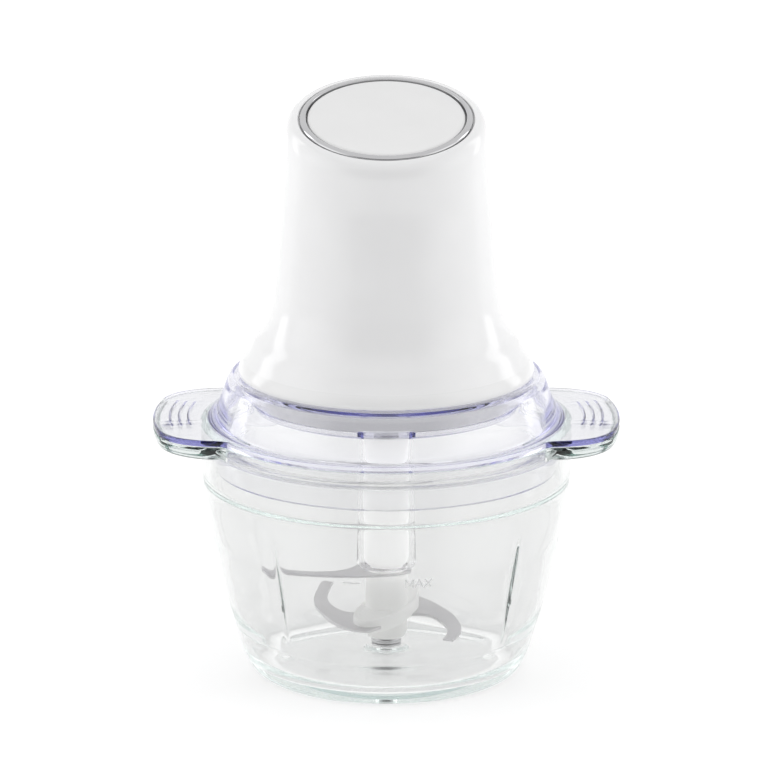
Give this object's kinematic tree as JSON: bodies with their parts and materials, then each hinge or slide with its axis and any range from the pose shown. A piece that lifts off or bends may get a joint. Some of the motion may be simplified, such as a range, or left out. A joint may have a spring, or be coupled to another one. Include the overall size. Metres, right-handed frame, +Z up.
{
  "type": "food processor",
  "caption": "Small food chopper: a clear bowl with two ears, a clear lid, a bladed hub on a pivot pin, and a press-down motor unit with a slanted round button.",
  "frame": {"origin": "centre of the bowl's foot, on the surface it stands on", "axes": "+Z up; -Y the front, which the button slants down to; the two ears lie along X"},
  "size_m": [0.2, 0.16, 0.2523],
  "materials": {
    "bowl_glass": "clear soda-lime glass, green in its thick edges",
    "lid_plastic": "clear, polished, faint violet tint",
    "seal_rubber": "translucent silicone",
    "housing_plastic": "polished white",
    "chrome": "polished plating",
    "button_plastic": "satin white",
    "hub_plastic": "milky white",
    "sleeve_plastic": "clear, faintly frosted",
    "blade_steel": "stamped stainless, satin faces",
    "pin_steel": "turned and ground",
    "black_rubber": "moulded",
    "inner_plastic": "moulded",
    "core_steel": "electrical sheet and zinc-plated sheet",
    "copper": "enamelled copper wire",
    "brass": "drawn and sintered",
    "carbon": "pressed carbon",
    "gear_plastic": "natural acetal"
  },
  "bodies": {
    "bowl_body": {"bowl": "bowl_glass", "bowl_pin": "pin_steel"},
    "lid_body": {"lid": "lid_plastic", "lid_seal": "seal_rubber"},
    "motor_unit_body": {"motor_housing": "housing_plastic", "base_cover": "housing_plastic", "housing_screw_1": "pin_steel", "housing_screw_2": "pin_steel", "housing_screw_3": "pin_steel", "chrome_ring": "chrome", "cord_gland": "black_rubber", "button_spring": "pin_steel", "switch_bracket": "inner_plastic", "micro_switch": "inner_plastic", "stator_core": "core_steel", "field_coil_left": "copper", "field_coil_right": "copper", "lower_bearing_bracket": "core_steel", "upper_bearing_bracket": "core_steel", "lower_bearing": "pin_steel", "upper_bearing": "pin_steel", "motor_damper": "black_rubber", "brush_holder_left": "brass", "brush_holder_right": "brass", "carbon_brush_left": "carbon", "carbon_brush_right": "carbon", "gearbox_housing": "inner_plastic", "gearbox_cover": "inner_plastic", "ring_gear": "gear_plastic", "output_bearing": "brass"},
    "button_body": {"button_cap": "button_plastic", "button_plunger": "inner_plastic"},
    "lever_body": {"switch_lever": "pin_steel"},
    "rotor_body": {"armature_core": "core_steel", "armature_windings": "copper", "commutator": "brass", "motor_shaft": "pin_steel", "cooling_fan": "inner_plastic", "sun_pinion": "pin_steel"},
    "carrier_body": {"planet_carrier": "core_steel", "output_shaft": "pin_steel", "planet_pin_1": "pin_steel", "planet_pin_2": "pin_steel", "planet_pin_3": "pin_steel"},
    "planet_1_body": {"planet_gear_1": "gear_plastic"},
    "planet_2_body": {"planet_gear_2": "gear_plastic"},
    "planet_3_body": {"planet_gear_3": "gear_plastic"},
    "blade_body": {"blade_hub": "hub_plastic", "hub_sleeve": "sleeve_plastic", "hub_bush": "pin_steel", "drive_socket": "inner_plastic", "upper_blade": "blade_steel", "lower_blade": "blade_steel"}
  },
  "joints": [
    {"name": "lid_lift", "type": "slide", "parent": "bowl_body", "child": "lid_body", "axis": [0, 0, 1], "range_m": [0, 0.12]},
    {"name": "motor_unit_lift", "type": "slide", "parent": "lid_body", "child": "motor_unit_body", "axis": [0, 0, 1], "range_m": [0, 0.07]},
    {"name": "button_press", "type": "slide", "parent": "motor_unit_body", "child": "button_body", "axis": [0, 0.2672, -0.9636], "range_m": [0, 0.0026], "stiffness_N_per_m": 800, "springref_m": -0.004, "deforming": ["button_spring"]},
    {"name": "switch_lever_swing", "type": "hinge", "parent": "motor_unit_body", "child": "lever_body", "pos_m": [-0.009, 0.0026, 0.2288], "axis": [0, 1, 0], "range_deg": [0, 17]},
    {"name": "rotor_spin", "type": "hinge", "parent": "motor_unit_body", "child": "rotor_body", "pos_m": [0, 0, 0.18], "axis": [0, 0, 1], "continuous": true},
    {"name": "carrier_spin", "type": "hinge", "parent": "motor_unit_body", "child": "carrier_body", "pos_m": [0, 0, 0.134], "axis": [0, 0, 1], "continuous": true},
    {"name": "planet_1_spin", "type": "hinge", "parent": "carrier_body", "child": "planet_1_body", "pos_m": [0.0135, 0, 0.1395], "axis": [0, 0, 1], "continuous": true},
    {"name": "planet_2_spin", "type": "hinge", "parent": "carrier_body", "child": "planet_2_body", "pos_m": [-0.00675, 0.01169, 0.1395], "axis": [0, 0, 1], "continuous": true},
    {"name": "planet_3_spin", "type": "hinge", "parent": "carrier_body", "child": "planet_3_body", "pos_m": [-0.00675, -0.01169, 0.1395], "axis": [0, 0, 1], "continuous": true},
    {"name": "blade_spin", "type": "hinge", "parent": "bowl_body", "child": "blade_body", "pos_m": [0, 0, 0.02], "axis": [0, 0, 1], "continuous": true}
  ],
  "couplings": [
    {"joint": "switch_lever_swing", "follows": "button_press", "rad_per_m": 111},
    {"joint": "carrier_spin", "follows": "rotor_spin", "ratio": 0.18519},
    {"joint": "planet_1_spin", "follows": "rotor_spin", "ratio": -0.4793},
    {"joint": "planet_2_spin", "follows": "rotor_spin", "ratio": -0.4793},
    {"joint": "planet_3_spin", "follows": "rotor_spin", "ratio": -0.4793},
    {"joint": "blade_spin", "follows": "rotor_spin", "ratio": 0.18519}
  ]
}
